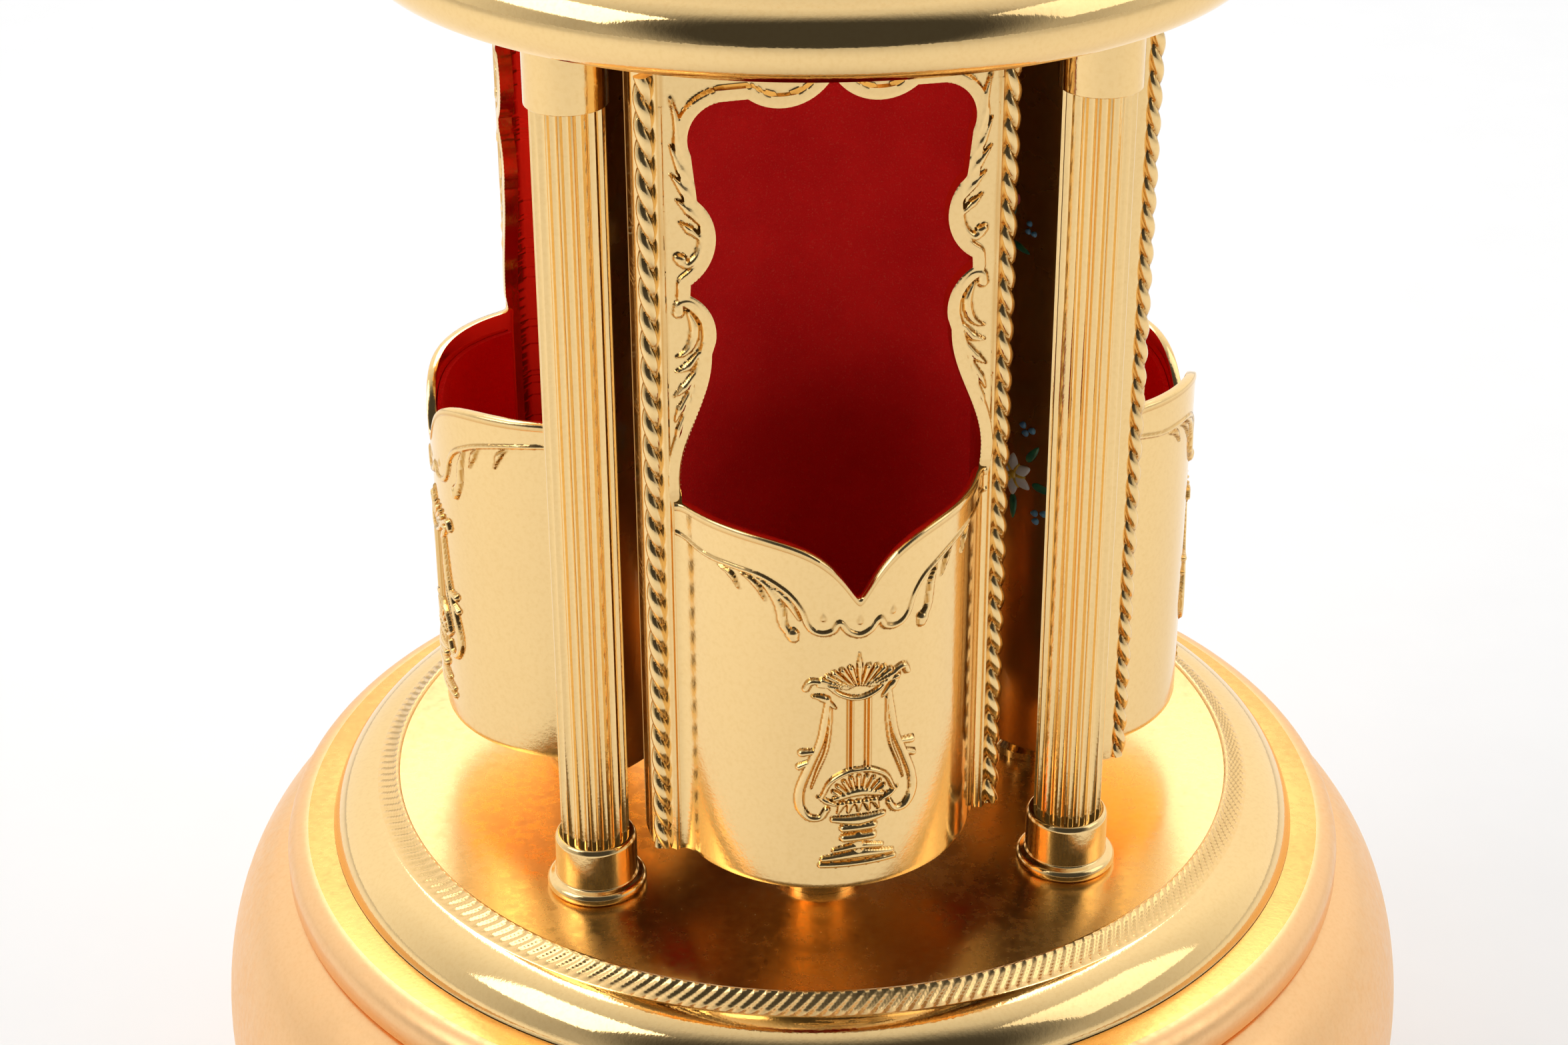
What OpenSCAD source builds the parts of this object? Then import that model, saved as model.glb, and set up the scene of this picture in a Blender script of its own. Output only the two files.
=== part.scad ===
// Carousel music box: a round base holds the musical movement, four columns
// carry a domed canopy, and four lined holders turn between the columns.
// Turning the finial turns the centre shaft, whose gear turns all four holders.

/* [Base] */
// Height of the stage surface above the table
stage_z = 64; // [62:1:70]
// Largest radius of the bulging base
base_r = 72.4; // [70:0.2:74]
// Radius of the satin step ring
step_r = 63.8; // [62.5:0.1:65]
// Radius of the polished stage disc
stage_r = 58.2; // [57:0.1:59]
// Outer radius of the knurled band on the stage
knurl_r = 52.5; // [51:0.5:54]

/* [Columns] */
// Radius of the circle that the columns stand on
column_circle_r = 37.8; // [37.7:0.1:38.4]
// Angle that the columns stand past half way between the holders
column_turn = 3.2; // [0:0.1:3.2]
// Height of the columns
column_h = 102; // [98:1:110]
// Radius of a column shaft over the flutes
column_r = 3.8; // [3.4:0.1:4]
// Number of flutes on a column
flute_count = 18; // [14:1:20]

/* [Holders] */
// Angle that an open holder stands past the radial direction
open_yaw = 12.2; // [4:0.1:14]
// Gap between the stage and the bottom of a holder
holder_gap = 9; // [8:0.5:10]
// Height of a holder
holder_h = 91; // [88:1:91]
// Outer radius of a holder's cup
cup_r = 16.8; // [16.2:0.1:16.8]
// Height of the cup's rim at its sides, above the stage
rim_side_z = 52; // [48:0.5:56]
// Depth of the notch in the rim
rim_notch = 8; // [5:0.5:10]
// Half the width of a holder
holder_half_w = 19.7; // [19:0.1:19.7]

/* [Canopy] */
// Radius of the canopy's lower lip
canopy_r = 48; // [47:0.5:50]
// Height of the dome above its rim
dome_h = 40; // [34:1:46]

/* [Hidden] */
sides = ["front", "right", "rear", "left"];
door_parts = ["door_frame_", "door_cup_", "door_back_", "door_lining_", "door_pivots_", "door_pinion_"];

$fn = 96;
sheet = 0.8;                                   // thickness of spun and pressed sheet
run = 0.05;                                    // radial running clearance
holder_z = stage_z + holder_gap;               // underside of a holder
holder_top = holder_z + holder_h;
canopy_z = stage_z + column_h;                 // underside of the canopy plate
plate_t = 1.6;
pivot_r = 26.8;                                // a holder's pivot, from the centre shaft
sun_teeth = 36;
pinion_teeth = 17;
gear_module = pivot_r * 2 / (sun_teeth + pinion_teeth);
gear_z = canopy_z + plate_t + 0.8;
gear_t = 3;
shaft_r = 3;
rod_r = 1.5;
pin_r = 1.5;
front_y = -5;                                  // a holder's front plate, from its pivot
frame_t = 1.2;
chamfer = 2.1;
flat_half_w = holder_half_w - chamfer;         // where the front plate's corner slopes back
back_depth = 12;                               // the painted back, from its pivot
back_edge_y = 1;
back_sag = back_depth - back_edge_y;
back_arc_r = (pow(holder_half_w, 2) + pow(back_sag, 2)) / (2 * back_sag);
back_arc_y = back_depth - back_arc_r;
floor_t = 1.2;
flock_t = 0.6;

// movement, all axes upright: the barrel is on the centre line
barrel_teeth = 54;
cylinder_teeth = 18;
drive_module = 0.8;
barrel_axis_d = drive_module * (barrel_teeth + cylinder_teeth) / 2;
wheel_teeth = 48;
leaf_teeth = 12;
wheel_module = 0.5;
governor_d = wheel_module * (wheel_teeth + leaf_teeth) / 2;
train_teeth = 36;
fly_teeth = 10;
train_module = 0.5;
fly_d = train_module * (train_teeth + fly_teeth) / 2;
cylinder_x = barrel_axis_d;
governor_pos = [cylinder_x, governor_d];
fly_dir = 130;                                 // from the governor wheel to the fly
fly_pos = governor_pos + polar(fly_d, fly_dir);
move_z = 9;                                    // underside of the movement's plate
move_plate_t = 2;
bridge_z = 42;                                 // underside of the movement's bridge
arbor_r = 1.5;
pillars = [[-19, -22], [-19, 22], [40, 22], [40, -22]];

function polar(r, a) = [r * cos(a), r * sin(a)];
function arc_points(c, r, a0, a1, n) = [for (i = [0:n]) c + polar(r, a0 + (a1 - a0) * i / n)];
function involute(a) = tan(a) * 180 / PI - a;
function flank(r, base, half, inv0) = half + inv0 - involute(acos(min(1, base / max(r, base))));

// outline of an involute gear with a tooth centred on the x axis
function gear_points(m, n, slack) =
    let (rp = m * n / 2, base = rp * cos(20), tip = rp + 0.92 * m, root = rp - 1.2 * m,
         half = 90 / n - slack / rp * 180 / PI / 2, inv0 = involute(20), steps = 4,
         low = max(base, root))
    [for (k = [0:n - 1]) each concat(
        [polar(root, k * 360 / n - flank(low, base, half, inv0))],
        [for (i = [0:steps]) let (r = low + (tip - low) * i / steps)
            polar(r, k * 360 / n - flank(r, base, half, inv0))],
        [for (i = [steps:-1:0]) let (r = low + (tip - low) * i / steps)
            polar(r, k * 360 / n + flank(r, base, half, inv0))],
        [polar(root, k * 360 / n + flank(low, base, half, inv0))])];

module gear(m, n, t, bore, phase = 0, slack = 0.16) {
    difference() {
        linear_extrude(t) rotate(phase) polygon(gear_points(m, n, slack));
        translate([0, 0, -1]) cylinder(r = bore, h = t + 2);
    }
}

module ring(outer, inner, h) {
    difference() {
        cylinder(r = outer, h = h);
        translate([0, 0, -1]) cylinder(r = inner, h = h + 2);
    }
}

// ---------- base ----------

// outline of the bulging body, from the shoulder under the step ring to the foot
bulb_top_z = stage_z - 11;
bulb_mid_z = stage_z - 31;
shoulder_r = step_r - 1.4;
foot_z = 3;
foot_r = 57;
cover_t = 2;
shell_low_z = foot_z + cover_t + 0.04;
function bulb(inset) = concat(
    [for (i = [0:12]) let (a = 90 * i / 12)
        [shoulder_r + (base_r - shoulder_r - inset) * sin(a),
         bulb_mid_z + (bulb_top_z - bulb_mid_z - inset) * cos(a)]],
    [for (i = [1:12]) let (a = 64 * i / 12)
        [base_r - 26 + (26 - inset) * cos(a), bulb_mid_z - (27 - inset) * sin(a)]]);

module base_shell() {
    outer = bulb(0);
    color("peru") rotate_extrude() polygon(concat(
        [[step_r - 6, bulb_top_z - sheet], [step_r - 6, bulb_top_z]],
        outer,
        [[foot_r, shell_low_z + 1.6], [foot_r, shell_low_z], [foot_r - 5, shell_low_z],
         [foot_r - 5, shell_low_z + sheet], [foot_r - sheet, shell_low_z + sheet]],
        [for (i = [len(outer) - 1:-1:0]) bulb(sheet)[i]]));
}

module step_ring() {
    color("goldenrod") rotate_extrude() polygon(concat(
        [[step_r - 8, bulb_top_z + 1.1], [step_r - 2, bulb_top_z + 0.1], [step_r, bulb_top_z + 0.3]],
        arc_points([step_r - 2.6, bulb_top_z + 2.2], 2.6, 0, 90, 6),
        [[stage_r - 1, stage_z - 6], [stage_r - 1, stage_z - 7.2], [step_r - 8, stage_z - 7.2]]));
}

roll_r = 6;
screw_circle_r = 46;
module stage_disc() {
    color("gold") difference() {
        rotate_extrude() polygon(concat(
            [[0, stage_z], [knurl_r - 2.6, stage_z], [knurl_r - 2.3, stage_z + 0.35]],
            arc_points([stage_r - roll_r, stage_z - 1.2 - roll_r], roll_r, 87, 13, 10),
            [[stage_r - 0.1, stage_z - 5.95], [stage_r - 1, stage_z - 5.95], [knurl_r, stage_z - 2.3],
             [0, stage_z - 2.3]]));
        for (k = [0:3]) {
            rotate(90 * k + 45 + column_turn) translate([column_circle_r, 0, 0]) rod_hole(rod_r + 0.1);
            rotate(90 * k) translate([pivot_r, 0, 0]) rod_hole(2.5);
        }
        rod_hole(4.5);
        for (k = [0:3]) rotate(90 * k + 45) translate([screw_circle_r, 0, stage_z - 3])
            cylinder(r = 1.55, h = 1.8);
    }
}

module rod_hole(r) {
    translate([0, 0, stage_z - 4]) cylinder(r = r, h = 6);
}

cover_r = foot_r - 0.6;
key_hole_r = 4;
module bottom_cover() {
    color("dimgray") difference() {
        translate([0, 0, foot_z + 0.02]) cylinder(r = cover_r, h = cover_t - 0.02);
        translate([0, 0, foot_z - 1]) cylinder(r = key_hole_r, h = 4);
        for (k = [0:3]) rotate(90 * k + 45) translate([screw_circle_r, 0, foot_z - 1])
            cylinder(r = 1.6, h = 4);
        for (p = pillars) translate([p[0], p[1], foot_z - 1]) cylinder(r = 1.3, h = 4);
    }
}

module feet() {
    color("black") for (k = [0:3]) rotate(90 * k) translate([foot_r - 8, 0, 0])
        rotate_extrude() polygon([[0, 0], [3.5, 0], [4, 0.6], [4, foot_z], [0, foot_z]]);
}

module screw(head_r, shank_r, length, head_h = 1.2) {
    difference() {
        union() {
            translate([0, 0, -head_h]) cylinder(r = head_r, h = head_h);
            cylinder(r = shank_r, h = length);
        }
        translate([-head_r - 1, -0.25, -head_h - 1]) cube([2 * head_r + 2, 0.5, 1.5]);
    }
}

// long screws from the cover into the stage hold the base together
module bottom_screws() {
    color("silver") for (k = [0:3]) rotate(90 * k + 45) translate([screw_circle_r, 0, foot_z])
        screw(2.8, 1.5, stage_z - 1.3 - foot_z);
}

// ---------- musical movement ----------

module at_pillars() {
    for (p = pillars) translate([p[0], p[1], 0]) children();
}

plate_low = [-25, -27];
plate_size = [73, 54];
module movement_sheet(z) {
    color("silver") difference() {
        translate([plate_low[0], plate_low[1], z]) cube([plate_size[0], plate_size[1], move_plate_t]);
        translate([0, 0, z - 1]) cylinder(r = arbor_r + run, h = move_plate_t + 2);
        for (p = [[cylinder_x, 0], governor_pos, fly_pos])
            translate([p[0], p[1], z - 1]) cylinder(r = 1 + run, h = move_plate_t + 2);
        for (p = pillars) translate([p[0], p[1], z - 1]) cylinder(r = 1.3, h = move_plate_t + 2);
    }
}

module movement_plate() {
    movement_sheet(move_z);
}

module movement_bridge() {
    movement_sheet(bridge_z);
}

module movement_pillars() {
    color("gainsboro") at_pillars() {
        translate([0, 0, foot_z + cover_t + 0.02]) ring(3, 1.3, move_z - foot_z - cover_t - 0.04);
        translate([0, 0, move_z + move_plate_t + 0.02])
            ring(3, 1.3, bridge_z - move_z - move_plate_t - 0.04);
    }
}

module movement_screws() {
    color("silver") at_pillars() translate([0, 0, foot_z])
        screw(2.4, 1.2, bridge_z + move_plate_t - foot_z);
}

barrel_r = 17;
barrel_z = 13.2;
barrel_h = 24;
module spring_barrel() {
    color("darkgoldenrod") {
        translate([0, 0, barrel_z]) difference() {
            cylinder(r = barrel_r, h = barrel_h);
            translate([0, 0, 0.8]) cylinder(r = barrel_r - 0.8, h = barrel_h - 1.6);
            translate([0, 0, -1]) cylinder(r = arbor_r + run, h = barrel_h + 2);
        }
        translate([0, 0, barrel_z + barrel_h]) difference() {
            gear(drive_module, barrel_teeth, 2, arbor_r + run);
            translate([0, 0, -1]) ring(barrel_r, barrel_r - 4, 0.5);
        }
    }
}

// the strip is wound as a spiral of nested half turns
coil_gap = 1.3;
module mainspring() {
    color("slategray") translate([0, 0, barrel_z + 1.4])
        linear_extrude(barrel_h - 2.8) for (i = [0:8]) {
            r = 3.4 + coil_gap * i;
            difference() {
                circle(r + 0.3);
                circle(r);
                translate([-30, -60]) square(60);
            }
            translate([coil_gap / 2, 0]) difference() {
                circle(r + coil_gap / 2 + 0.3);
                circle(r + coil_gap / 2);
                translate([-30, 0]) square(60);
            }
        }
}

module winding_arbor() {
    color("silver") difference() {
        union() {
            translate([0, 0, foot_z - 1]) cylinder(r = arbor_r, h = bridge_z + 1.5 - foot_z + 1);
            translate([0, 0, barrel_z + 1.2]) cylinder(r = 3.2, h = barrel_h - 2.4);
        }
        translate([arbor_r - 0.4, -2, foot_z - 1.1]) cube([2, 4, 3]);
    }
}

module winding_key() {
    color("gold") translate([0, 0, 0.8]) {
        difference() {
            cylinder(r = 3, h = foot_z + 1);
            translate([0, 0, 1.2]) cylinder(r = arbor_r, h = foot_z + 1);
        }
        for (s = [-1, 1]) translate([s * 5.8, 0, 0]) ring(3.2, 1.7, 1.6);
    }
}

cylinder_r = 6.5;
cylinder_z = 16;
cylinder_h = 19;
note_count = 18;
wheel_z = move_z + move_plate_t + 0.3;
train_z = wheel_z + 2.3;
module pivoted_arbor(top) {
    translate([0, 0, move_z + 0.2]) cylinder(r = 1, h = top - move_z - 0.2);
}

module music_cylinder() {
    color("gold") translate([cylinder_x, 0, 0]) {
        pivoted_arbor(bridge_z + move_plate_t);
        translate([0, 0, cylinder_z]) ring(cylinder_r, 0.9, cylinder_h);
        translate([0, 0, cylinder_z + cylinder_h - 0.1]) ring(2, 0.9, 2);
        translate([0, 0, barrel_z + barrel_h - 0.3])
            gear(drive_module, cylinder_teeth, 2.6, 0.9, 180 / cylinder_teeth);
        translate([0, 0, wheel_z]) gear(wheel_module, wheel_teeth, 1.4, 0.9);
        translate([0, 0, wheel_z + 1.3]) ring(2.4, 0.9, 2.4);
    }
}

pin_tip = 0.5;                                 // how far a pin stands out
pin_seat = 0.02;
module cylinder_pins() {
    color("gold") translate([cylinder_x, 0, cylinder_z]) for (i = [0:note_count - 1]) for (j = [0:3])
        rotate([0, 0, 47 * i + 90 * j + 11 * (i % 4)])
            translate([cylinder_r - pin_seat, 0, 1 + i]) rotate([0, 90, 0])
                cylinder(r = 0.2, h = pin_tip + pin_seat, $fn = 6);
}

comb_x = cylinder_x + cylinder_r + 0.9;
comb_reach = 6;
comb_back = 4.6;
comb_bolts = [4, 15];
module comb() {
    color("silver") translate([comb_x, -3, cylinder_z]) {
        for (i = [0:note_count - 1]) translate([0, 0, 0.65 + i]) cube([comb_reach + 0.2, 0.8, 0.7]);
        difference() {
            translate([comb_reach, 0, 0]) cube([comb_back, 1.6, cylinder_h]);
            for (z = comb_bolts) translate([comb_reach + comb_back / 2, -1, z])
                rotate([-90, 0, 0]) cylinder(r = 0.9, h = 4);
        }
    }
}

module comb_bracket() {
    color("gray") difference() {
        translate([comb_x + comb_reach, -1.38, move_z + move_plate_t + 0.02])
            cube([comb_back, 5, bridge_z - move_z - move_plate_t - 0.04]);
        for (z = comb_bolts) translate([comb_x + comb_reach + comb_back / 2, -2, cylinder_z + z])
            rotate([-90, 0, 0]) cylinder(r = 0.9, h = 8);
    }
}

module comb_screws() {
    color("silver") for (z = comb_bolts)
        translate([comb_x + comb_reach + comb_back / 2, -3, cylinder_z + z])
            rotate([-90, 0, 0]) screw(1.6, 0.8, 5, 1);
}

module governor_wheel() {
    color("gold") translate([governor_pos[0], governor_pos[1], 0]) {
        pivoted_arbor(bridge_z + move_plate_t);
        translate([0, 0, wheel_z - 0.2])
            gear(wheel_module, leaf_teeth, 2.4, 0.9, -90 + 180 / leaf_teeth);
        translate([0, 0, train_z]) gear(train_module, train_teeth, 1.2, 0.9, fly_dir);
    }
}

fly_z = bridge_z + move_plate_t + 0.6;
fly_r = 6.5;
module governor_fly() {
    color("gold") translate([fly_pos[0], fly_pos[1], 0]) {
        pivoted_arbor(fly_z + 6.4);
        translate([0, 0, train_z - 0.2])
            gear(train_module, fly_teeth, 1.6, 0.9, fly_dir - 180 + 180 / fly_teeth);
        translate([0, 0, fly_z]) {
            ring(1.8, 0.9, 6);
            for (s = [0, 180]) rotate(s) translate([1.5, -0.2, 0.4]) cube([fly_r - 1.5, 0.4, 5]);
        }
    }
}

// ---------- centre shaft and canopy ----------

shaft_low_z = fly_z + 1;
dome_top_z = canopy_z + 5.2 + dome_h;
finial_z = dome_top_z + 0.3;
module centre_shaft() {
    color("silver") translate([0, 0, shaft_low_z]) cylinder(r = shaft_r, h = finial_z + 14 - shaft_low_z);
}

// a wire that stands in the way of the fly when the holders are shut
arm_angle = atan2(fly_pos[1], fly_pos[0]);
arm_reach = norm(fly_pos) - fly_r - 0.6;
shut_turn = (180 - open_yaw) * pinion_teeth / sun_teeth;
module stop_arm() {
    color("silver") rotate(arm_angle + shut_turn) translate([0, 0, shaft_low_z + 1]) {
        ring(4.2, shaft_r, 3);
        translate([4, -0.6, 0.9]) cube([arm_reach - 4, 1.2, 1.2]);
    }
}

module sun_gear() {
    color("gold") translate([0, 0, gear_z]) {
        gear(gear_module, sun_teeth, gear_t, shaft_r);
        translate([0, 0, gear_t - 0.1]) ring(6, shaft_r, 4);
        translate([0, 0, plate_t + canopy_z + 0.05 - gear_z]) ring(6, shaft_r, 0.8);
    }
}

module finial() {
    color("gold") translate([0, 0, finial_z]) difference() {
        rotate_extrude() polygon(concat(
            [[0, 0], [6.5, 0], [7, 0.6], [6.2, 1.6], [3.9, 2.6], [3.9, 4]],
            arc_points([0, 12.4], 9.2, -65, 62, 18),
            [[3.2, 21.6], [2.6, 22.6], [1.6, 25.4], [0, 26.4]]));
        translate([0, 0, -1]) cylinder(r = shaft_r, h = 15.1);
    }
}

module stage_bush() {
    color("darkgoldenrod") translate([0, 0, stage_z - 5.2]) {
        ring(4.4, shaft_r + run, 8);
        ring(7.5, 4, 2.8);
    }
}

// each post holds a holder's lower pin clear of the stage
module pivot_posts() {
    color("gold") for (k = [0:3]) rotate(90 * k) translate([0, -pivot_r, 0]) {
        translate([0, 0, stage_z - 2.2]) ring(2.4, pin_r + run, 3);
        translate([0, 0, stage_z + 0.02]) difference() {
            rotate_extrude() polygon([[0, 0], [5, 0], [5, 1], [3.4, 2.6], [3.4, holder_gap - 0.5],
                                      [0, holder_gap - 0.5]]);
            translate([0, 0, -1]) cylinder(r = pin_r + run, h = holder_gap + 2);
        }
    }
}

module at_columns() {
    for (k = [0:3]) rotate(90 * k + 45 + column_turn) translate([column_circle_r, 0, 0]) children();
}

module tie_rods() {
    color("silver") at_columns() translate([0, 0, stage_z - 7]) cylinder(r = rod_r, h = column_h + 13);
}

module tie_nuts() {
    color("silver") at_columns()
        for (z = [stage_z - 4.8, canopy_z + plate_t + 0.05]) translate([0, 0, z]) difference() {
            cylinder(r = 3.2, h = 2.4, $fn = 6);
            translate([0, 0, -1]) cylinder(r = rod_r + 0.02, h = 5);
        }
}

module canopy_plate() {
    color("goldenrod") translate([0, 0, canopy_z]) difference() {
        cylinder(r = canopy_r - 1.3, h = plate_t);
        translate([0, 0, -1]) cylinder(r = shaft_r + run, h = 4);
        for (k = [0:3]) {
            rotate(90 * k) translate([pivot_r, 0, -1]) cylinder(r = 2 + run, h = 4);
            rotate(90 * k + 45 + column_turn) translate([column_circle_r, 0, -1])
                cylinder(r = rod_r + 0.1, h = 4);
        }
    }
}

// a rolled rim and a rounded dome, spun from one sheet
function canopy_outline(inset) = concat(
    arc_points([canopy_r - 3, canopy_z + 2.9], 4.2 - inset, -50, 62, 10),
    [[canopy_r - 2.4 - inset, canopy_z + 7.4 - inset * 0.4]],
    [for (i = [0:22]) let (t = i / 22, a = 90 * t)
        [(canopy_r - 3.4 - inset) * pow(cos(a), 0.82) + (6 - inset * 0.1) * t,
         canopy_z + 8.2 - inset * 0.6 + (dome_h - 3) * sin(a)]]);
module canopy_dome() {
    color("gold") difference() {
        rotate_extrude() polygon(concat(
            canopy_outline(0),
            [for (i = [len(canopy_outline(sheet)) - 1:-1:0]) canopy_outline(sheet)[i]]));
        translate([0, 0, dome_top_z - 6]) cylinder(r = shaft_r + 0.4, h = 12);
    }
}

// ---------- columns ----------

foot_h = 6.8;
capital_h = 9;
flute_r = 0.55;
module column_profile(points) {
    difference() {
        rotate_extrude() polygon(points);
        translate([0, 0, -1]) cylinder(r = rod_r + 0.1, h = column_h + 2);
    }
}

module column() {
    column_profile([[0, 0], [5.3, 0], [5.6, 0.4], [5.6, 1], [5.3, 1.4], [4.6, 1.6],
        [4.6, foot_h - 0.6], [4.4, foot_h], [0, foot_h]]);
    translate([0, 0, foot_h]) linear_extrude(column_h - foot_h - capital_h) difference() {
        circle(column_r);
        circle(rod_r + 0.1);
        for (k = [0:flute_count - 1]) rotate(360 / flute_count * k)
            translate([column_r + 0.2, 0]) circle(flute_r);
    }
    translate([0, 0, column_h - capital_h]) column_profile([[0, 0], [4.3, 0], [4.6, 0.5],
        [4.3, 1], [4.3, capital_h - 3], [4.8, capital_h - 2.4], [5.2, capital_h - 1],
        [5.2, capital_h - 0.04], [0, capital_h - 0.04]]);
}

module column_at(k) {
    color("gold") rotate(90 * k + 45 + column_turn)
        translate([0, -column_circle_r, stage_z + 0.02]) column();
}

// ---------- holders ----------

module at_holder(k) {
    rotate(90 * k) translate([0, -pivot_r, 0]) rotate(open_yaw) children();
}

// half of the opening's outline, from the foot to the middle of the top edge
function lobe(c, r, a0, a1) = arc_points(c, r, a0, a1, 8);
opening_half = concat(
    [[15.9, 4], [15.9, 50]],
    [for (i = [0:8]) let (t = i / 8)
        [16.1 - 3.5 * (1 - cos(180 * t)) / 2, 54.5 + 13.8 * t]],
    lobe([17.3, 70.5], 5.2, 190, 120),
    lobe([17.6, 80.9], 5.6, 238, 132),
    lobe([11, 91.4], 3.7, -24, 90),
    lobe([5, 99.7], 5.8, 308, 218),
    [[0.2, 96.6]]);
opening_mirror = [for (i = [len(opening_half) - 1:-1:0]) [-opening_half[i][0], opening_half[i][1]]];

// plan of the front frame: a flat plate whose corners slope back to the sides
module frame_plan() {
    polygon([[-flat_half_w, front_y], [flat_half_w, front_y],
        [holder_half_w, front_y + chamfer], [holder_half_w, 0.6],
        [holder_half_w - frame_t, 0.6], [holder_half_w - frame_t, front_y + chamfer + 0.5],
        [flat_half_w - 0.5, front_y + frame_t], [-flat_half_w + 0.5, front_y + frame_t],
        [-holder_half_w + frame_t, front_y + chamfer + 0.5], [-holder_half_w + frame_t, 0.6],
        [-holder_half_w, 0.6], [-holder_half_w, front_y + chamfer]]);
}

rope_r = 1;
module door_frame(k) {
    color("gold") at_holder(k) {
        difference() {
            translate([0, 0, holder_z]) linear_extrude(holder_h) frame_plan();
            translate([0, front_y + 2, stage_z]) rotate([90, 0, 0])
                linear_extrude(4) polygon(concat(opening_half, opening_mirror));
        }
        translate([0, 0, holder_top - 1.4]) difference() {
            linear_extrude(1.4) intersection() {
                translate([0, back_arc_y]) circle(back_arc_r - sheet - 0.1);
                translate([-holder_half_w + frame_t, front_y + frame_t - 0.1])
                    square([2 * (holder_half_w - frame_t), 30]);
            }
            translate([0, 0, -1]) cylinder(r = 2.02, h = 4);
        }
        for (s = [-1, 1]) translate([s * (flat_half_w + chamfer / 2), front_y + chamfer / 2, holder_z])
            cylinder(r = rope_r, h = holder_h - 2);
    }
}

function rim_height(x) = rim_side_z - rim_notch * exp(-abs(x) / 3.4);
module door_cup(k) {
    rim = [for (i = [0:32]) let (x = -16 + i) [x * 1.1, rim_height(x * 1.1)]];
    color("gold") at_holder(k) {
        intersection() {
            translate([0, 0, holder_z]) ring(cup_r, cup_r - sheet, holder_h);
            translate([0, front_y - 0.02, stage_z]) rotate([90, 0, 0])
                linear_extrude(20) polygon(concat([[18, 0], [-18, 0]], rim));
        }
        translate([0, 0, holder_z]) difference() {
            linear_extrude(floor_t) union() {
                difference() {
                    circle(cup_r - sheet / 2);
                    translate([-20, front_y]) square(40);
                }
                intersection() {
                    translate([0, back_arc_y]) circle(back_arc_r - sheet - 0.1);
                    translate([-14.6, front_y - 0.1]) square([29.2, 30]);
                }
            }
            translate([0, 0, -1]) cylinder(r = pin_r + 0.02, h = 4);
        }
    }
}

module door_back(k) {
    color("darkorange") at_holder(k) translate([0, 0, holder_z + 0.02])
        linear_extrude(holder_h - 0.04) difference() {
            translate([0, back_arc_y]) circle(back_arc_r);
            translate([0, back_arc_y]) circle(back_arc_r - sheet);
            translate([-30, back_edge_y - 60]) square(60);
        }
}

module door_lining(k) {
    color("crimson") at_holder(k) translate([0, 0, holder_z + floor_t + 0.05]) {
        // against the painted back, up to the top plate
        linear_extrude(holder_h - floor_t - 1.6) difference() {
            translate([0, back_arc_y]) circle(back_arc_r - sheet - 0.1);
            translate([0, back_arc_y]) circle(back_arc_r - sheet - 0.1 - flock_t);
            translate([-30, back_edge_y + 1 - 60]) square(60);
        }
        // inside the cup, a little below its rim
        intersection() {
            ring(cup_r - sheet - 0.05, cup_r - sheet - 0.05 - flock_t, holder_h);
            translate([0, front_y - 0.1, -holder_gap - floor_t]) rotate([90, 0, 0]) linear_extrude(20)
                polygon(concat([[18, 0], [-18, 0]],
                    [for (i = [0:32]) let (x = (i - 16) * 1.1) [x, rim_height(x) - 2.4]]));
        }
        // on the floor, as far as the painted back
        linear_extrude(flock_t) difference() {
            intersection() {
                circle(cup_r - sheet - 0.1);
                translate([0, back_arc_y]) circle(back_arc_r - sheet - 0.1);
            }
            circle(2.6);
        }
    }
}

module door_pivots(k) {
    color("silver") at_holder(k) {
        translate([0, 0, stage_z - 1.5]) cylinder(r = pin_r, h = holder_gap + 1.5 + floor_t);
        translate([0, 0, holder_z + floor_t]) cylinder(r = 2.4, h = 0.8);
        translate([0, 0, holder_z - 0.4]) ring(2.6, pin_r - 0.1, 0.4);
        translate([0, 0, holder_top - 1.4]) cylinder(r = 2, h = gear_z + gear_t + 1 - holder_top + 1.4);
    }
}

module door_pinion(k) {
    color("gold") rotate(90 * k) translate([0, -pivot_r, gear_z])
        gear(gear_module, pinion_teeth, gear_t, 2, 90 + 180 / pinion_teeth);
}

base_shell();
step_ring();
stage_disc();
bottom_cover();
feet();
bottom_screws();
movement_plate();
movement_bridge();
movement_pillars();
movement_screws();
spring_barrel();
mainspring();
winding_arbor();
winding_key();
music_cylinder();
cylinder_pins();
comb();
comb_bracket();
comb_screws();
governor_wheel();
governor_fly();
centre_shaft();
stop_arm();
sun_gear();
finial();
stage_bush();
pivot_posts();
tie_rods();
tie_nuts();
canopy_plate();
canopy_dome();
for (k = [0:3]) {
    column_at(k);
    door_frame(k);
    door_cup(k);
    door_back(k);
    door_lining(k);
    door_pivots(k);
    door_pinion(k);
}
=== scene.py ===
"""Looks for the carousel music box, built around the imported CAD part.

Shapes are in millimetres until they become meshes. Heights of the holders and
columns are measured from the stage, everything else from the table.
"""
import math

import bmesh
import bpy
import numpy as np
from mathutils import Matrix, Vector


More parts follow.
